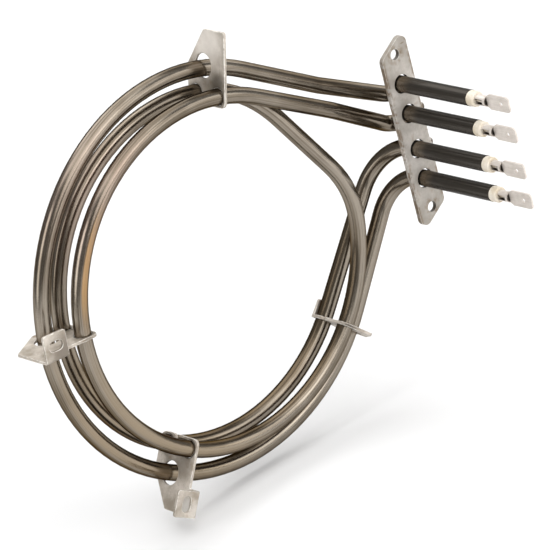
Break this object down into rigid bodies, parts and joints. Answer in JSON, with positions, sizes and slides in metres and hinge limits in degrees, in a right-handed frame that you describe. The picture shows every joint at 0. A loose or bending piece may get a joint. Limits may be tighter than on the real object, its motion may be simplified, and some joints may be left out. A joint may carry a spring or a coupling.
{
  "type": "tubular heating element",
  "caption": "Ring-shaped metal-sheathed heating element, wound around a fan space, with notched brackets, a bolted terminal flange and push-on tab terminals.",
  "frame": {"origin": "centre of the terminal flange's front face, midway between its two bolt holes", "axes": "+Z along the flange through its bolt holes, -Y out of the front face along the terminals, ring axis parallel to Y, ring centre towards -X"},
  "size_m": [0.2013, 0.0898, 0.1726],
  "materials": {
    "satin_sheath": "satin, heat tinted, black at the cold ends",
    "oxide_filling": "packed powder",
    "resistance_wire": "drawn wire",
    "stamped_steel": "matt, faint stains",
    "bead_ceramic": "matt cream",
    "tab_steel": "bright plated",
    "pin_steel": "drawn"
  },
  "bodies": {
    "root": {"single_turn_sheath": "satin_sheath", "double_turn_sheath": "satin_sheath", "single_turn_filling": "oxide_filling", "double_turn_filling": "oxide_filling", "single_turn_coil": "resistance_wire", "double_turn_coil": "resistance_wire", "mounting_flange": "stamped_steel", "top_bracket": "stamped_steel", "left_bracket": "stamped_steel", "bottom_bracket": "stamped_steel", "right_clip": "stamped_steel", "terminal_pin_1": "pin_steel", "ceramic_bead_1": "bead_ceramic", "tab_terminal_1": "tab_steel", "terminal_pin_2": "pin_steel", "ceramic_bead_2": "bead_ceramic", "tab_terminal_2": "tab_steel", "terminal_pin_3": "pin_steel", "ceramic_bead_3": "bead_ceramic", "tab_terminal_3": "tab_steel", "terminal_pin_4": "pin_steel", "ceramic_bead_4": "bead_ceramic", "tab_terminal_4": "tab_steel"}
  },
  "joints": []
}
